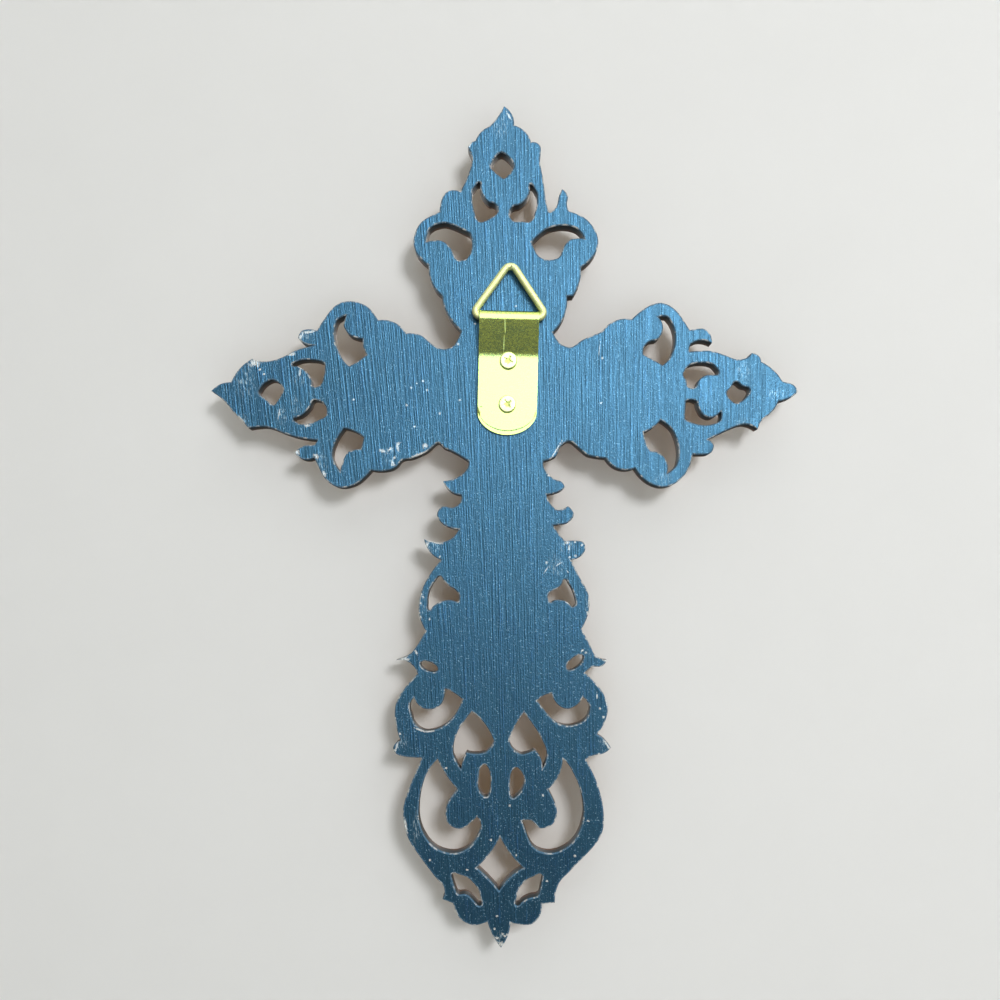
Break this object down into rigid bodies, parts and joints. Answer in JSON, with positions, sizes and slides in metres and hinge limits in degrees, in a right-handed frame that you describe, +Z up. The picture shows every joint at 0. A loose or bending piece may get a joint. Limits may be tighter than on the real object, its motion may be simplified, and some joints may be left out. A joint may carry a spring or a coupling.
{
  "type": "wall cross",
  "caption": "Openwork cast wall cross, flat behind and carved in front, with a folded strap hanger and a hinged wire ring for a nail.",
  "frame": {"origin": "inner top of the hanger's wire ring, where the nail bears", "axes": "+Z up along the upright, +Y from the flat back to the wall, +X to the right as seen from the carved front"},
  "size_m": [0.1414, 0.0127, 0.203],
  "materials": {
    "painted_resin": "satin blue-black paint on cast resin, sanded flat behind, worn brown on the carved front",
    "brass_sheet": "bright rolled sheet, a little mottled",
    "brass_wire": "bright drawn wire",
    "plated_screw": "bright plated steel"
  },
  "bodies": {
    "cross": {"cross": "painted_resin", "hanger_strap": "brass_sheet", "upper_screw": "plated_screw", "lower_screw": "plated_screw"},
    "ring": {"hanger_ring": "brass_wire"}
  },
  "joints": [
    {"name": "ring_swing", "type": "hinge", "parent": "cross", "child": "ring", "pos_m": [0.00028, 0, -0.0113], "axis": [-0.9997, 0, -0.0244], "range_deg": [0, 105]}
  ]
}
